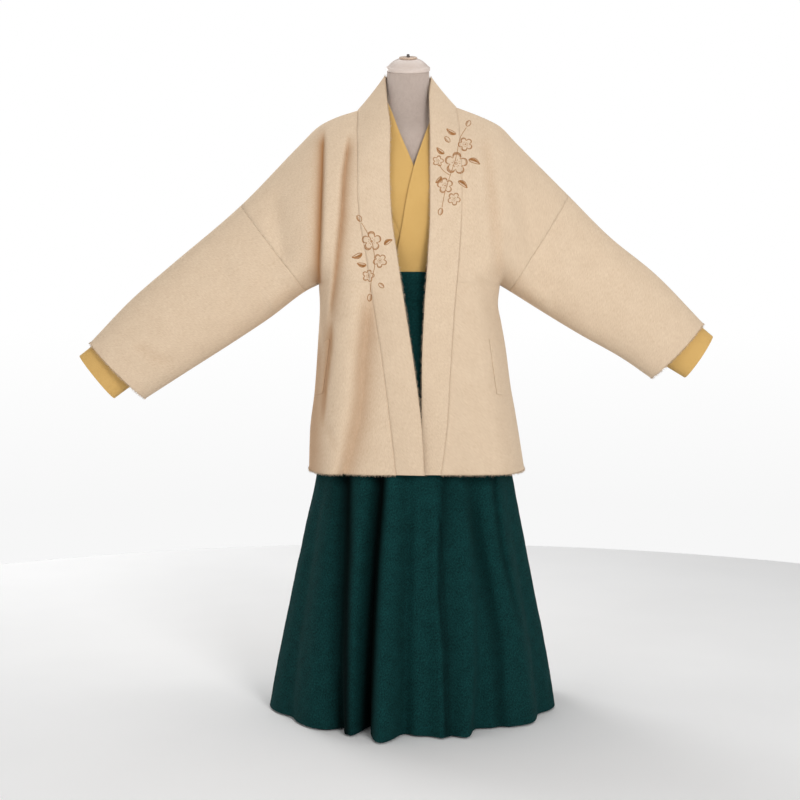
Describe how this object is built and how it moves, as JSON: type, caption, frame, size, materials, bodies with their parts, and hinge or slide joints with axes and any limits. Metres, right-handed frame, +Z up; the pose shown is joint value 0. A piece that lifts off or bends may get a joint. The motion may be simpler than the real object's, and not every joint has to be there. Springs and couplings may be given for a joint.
{
  "type": "hanfu skirt set on dress form",
  "caption": "Open wide-sleeved wool coat, crossed-collar shirt and long flared skirt worn by a limbless dress form on a stand.",
  "frame": {"origin": "on the floor under the middle of the dress form, at the middle of the base plate's underside", "axes": "+Z up; -Y is the way the wearer faces; +X is the wearer's left"},
  "size_m": [1.4236, 0.6474, 1.4581],
  "materials": {
    "camel_wool": "brushed napped wool coating, matt",
    "mustard_cotton": "plain woven cotton, matt",
    "green_wool": "dark fulled wool, matt",
    "form_linen": "linen cover drawn tight over the form",
    "cap_plastic": "moulded plastic, satin",
    "cap_wood": "turned wood, satin",
    "cap_nub": "dark moulded knob",
    "stand_steel": "brushed"
  },
  "bodies": {
    "root": {"coat_front_right": "camel_wool", "coat_front_left": "camel_wool", "coat_back": "camel_wool", "coat_sleeve_right": "camel_wool", "coat_sleeve_left": "camel_wool", "coat_collar": "camel_wool", "coat_pocket_welt_right": "camel_wool", "coat_pocket_welt_left": "camel_wool", "shirt_front_right": "mustard_cotton", "shirt_front_left": "mustard_cotton", "shirt_back": "mustard_cotton", "shirt_sleeve_right": "mustard_cotton", "shirt_sleeve_left": "mustard_cotton", "shirt_collar": "mustard_cotton", "skirt_waistband": "green_wool", "skirt_sash": "green_wool", "skirt_gore_front_right": "green_wool", "skirt_gore_front_left": "green_wool", "skirt_gore_back_left": "green_wool", "skirt_gore_back_right": "green_wool", "form_torso": "form_linen", "form_neck_cap": "cap_plastic", "form_cap_disc": "cap_wood", "form_cap_nub": "cap_nub", "form_pole": "stand_steel", "form_base": "stand_steel"}
  },
  "joints": []
}
